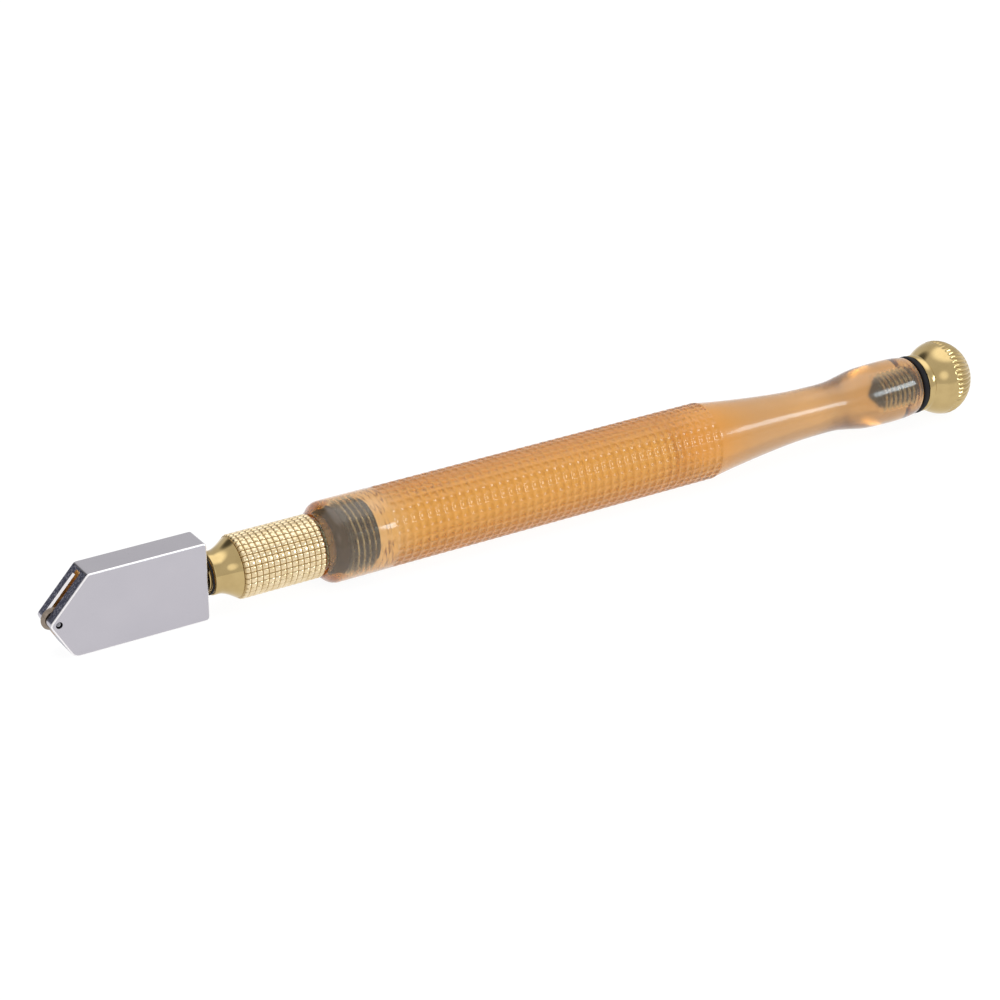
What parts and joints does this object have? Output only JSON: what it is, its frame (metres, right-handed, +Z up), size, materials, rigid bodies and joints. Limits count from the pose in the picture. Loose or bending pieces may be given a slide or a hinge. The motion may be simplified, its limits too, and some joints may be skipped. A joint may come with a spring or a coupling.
{
  "type": "glass cutter",
  "caption": "Pencil-grip glass cutter: wheel head on a sprung swivelling stem, knurled brass ferrule, and a hollow translucent oil-reservoir handle with a ball screwed into its tail.",
  "frame": {"origin": "centre of the tool's length, on the surface it lies on", "axes": "+X along the tool from the wheel to the ball cap; +Z up, across the head's height; Y through the head's thickness"},
  "size_m": [0.1766, 0.0132, 0.0132],
  "materials": {
    "satin_chrome": "satin plating over brass",
    "hard_metal": "ground, oily",
    "steel": "plain drawn",
    "brass": "bright turned",
    "rubber": "smooth moulded",
    "felt": "felt",
    "amber_plastic": "cloudy translucent, glossy"
  },
  "bodies": {
    "handle": {"handle_body": "amber_plastic"},
    "ferrule_seal": {"ferrule_o_ring": "rubber"},
    "ferrule": {"ferrule": "brass", "neck_ring": "rubber", "spring_retainer": "brass", "return_spring": "steel"},
    "plunger": {"thrust_washer": "brass"},
    "head": {"head_block": "satin_chrome", "head_stem": "brass", "wheel_axle": "steel", "felt_wick": "felt", "stem_o_ring": "rubber", "valve_washer": "rubber", "valve_nut": "brass"},
    "wheel": {"cutting_wheel": "hard_metal"},
    "cap_seal": {"cap_seal": "rubber"},
    "cap": {"end_cap": "brass"}
  },
  "joints": [
    {"name": "ferrule_travel", "type": "slide", "parent": "handle", "child": "ferrule_seal", "axis": [-1, 0, 0], "range_m": [0, 0.005]},
    {"name": "ferrule_turn", "type": "hinge", "parent": "ferrule_seal", "child": "ferrule", "pos_m": [-0.03793, 0, 0.00658], "axis": [-1, 0, 0], "range_deg": [0, 1800]},
    {"name": "head_press", "type": "slide", "parent": "ferrule", "child": "plunger", "axis": [1, 0, 0], "range_m": [0, 0.0004], "stiffness_N_per_m": 2500, "springref_m": -0.0008, "deforming": ["return_spring"]},
    {"name": "head_swivel", "type": "hinge", "parent": "plunger", "child": "head", "pos_m": [-0.05892, 0, 0.00658], "axis": [1, 0, 0], "continuous": true},
    {"name": "wheel_spin", "type": "hinge", "parent": "head", "child": "wheel", "pos_m": [-0.08647, 0, 0.00608], "axis": [0, 1, 0], "continuous": true},
    {"name": "cap_travel", "type": "slide", "parent": "handle", "child": "cap_seal", "axis": [1, 0, 0], "range_m": [0, 0.007]},
    {"name": "cap_turn", "type": "hinge", "parent": "cap_seal", "child": "cap", "pos_m": [0.07808, 0, 0.00658], "axis": [1, 0, 0], "range_deg": [0, 2520]}
  ],
  "couplings": [
    {"joint": "ferrule_travel", "follows": "ferrule_turn", "m_per_rad": 0.00015915},
    {"joint": "cap_travel", "follows": "cap_turn", "m_per_rad": 0.00015915}
  ]
}
